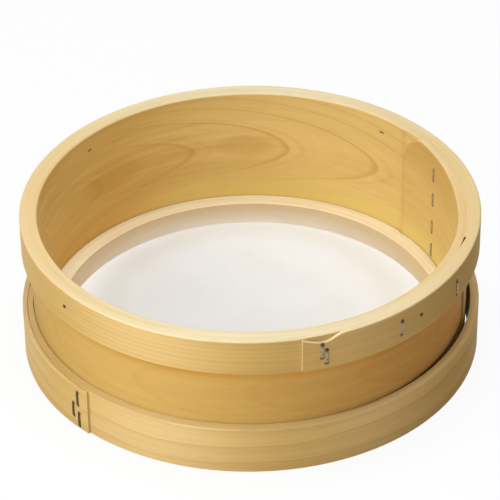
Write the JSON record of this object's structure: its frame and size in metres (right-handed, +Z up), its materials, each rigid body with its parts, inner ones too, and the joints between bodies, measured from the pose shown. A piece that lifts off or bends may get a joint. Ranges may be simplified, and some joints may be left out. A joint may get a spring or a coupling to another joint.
{
  "type": "stock strainer",
  "caption": "Round bentwood stock strainer: a deep lapped wooden hoop banded at rim and foot, with a fine white straining cloth stretched over an inner hoop.",
  "frame": {"origin": "centre of the foot, on the plane it stands on", "axes": "+Z up along the hoops' axis, towards the open rim; the front of the strainer faces -Y"},
  "size_m": [0.3021, 0.3016, 0.1],
  "materials": {
    "hoop_wood": "planed pale softwood, bare, fine straight grain",
    "straining_cloth": "fine white translucent plain-weave straining cloth",
    "fastener_steel": "plain drawn wire, dull"
  },
  "bodies": {
    "foot": {"bottom_band": "hoop_wood", "inner_hoop": "hoop_wood", "strainer_cloth": "straining_cloth", "bottom_lap_staple_1": "fastener_steel", "bottom_lap_staple_2": "fastener_steel", "bottom_lap_staple_3": "fastener_steel"},
    "frame": {"body_hoop": "hoop_wood", "top_band": "hoop_wood", "body_lap_staple_1": "fastener_steel", "body_lap_staple_2": "fastener_steel", "body_lap_staple_3": "fastener_steel", "body_lap_staple_4": "fastener_steel", "top_lap_staple_1": "fastener_steel", "top_lap_staple_2": "fastener_steel", "top_lap_staple_3": "fastener_steel", "top_lap_staple_4": "fastener_steel", "top_band_brad_1": "fastener_steel", "top_band_brad_2": "fastener_steel", "top_band_brad_3": "fastener_steel", "top_band_brad_4": "fastener_steel"}
  },
  "joints": [
    {"name": "frame_lift", "type": "slide", "parent": "foot", "child": "frame", "axis": [0, 0, 1], "range_m": [0, 0.045]}
  ]
}
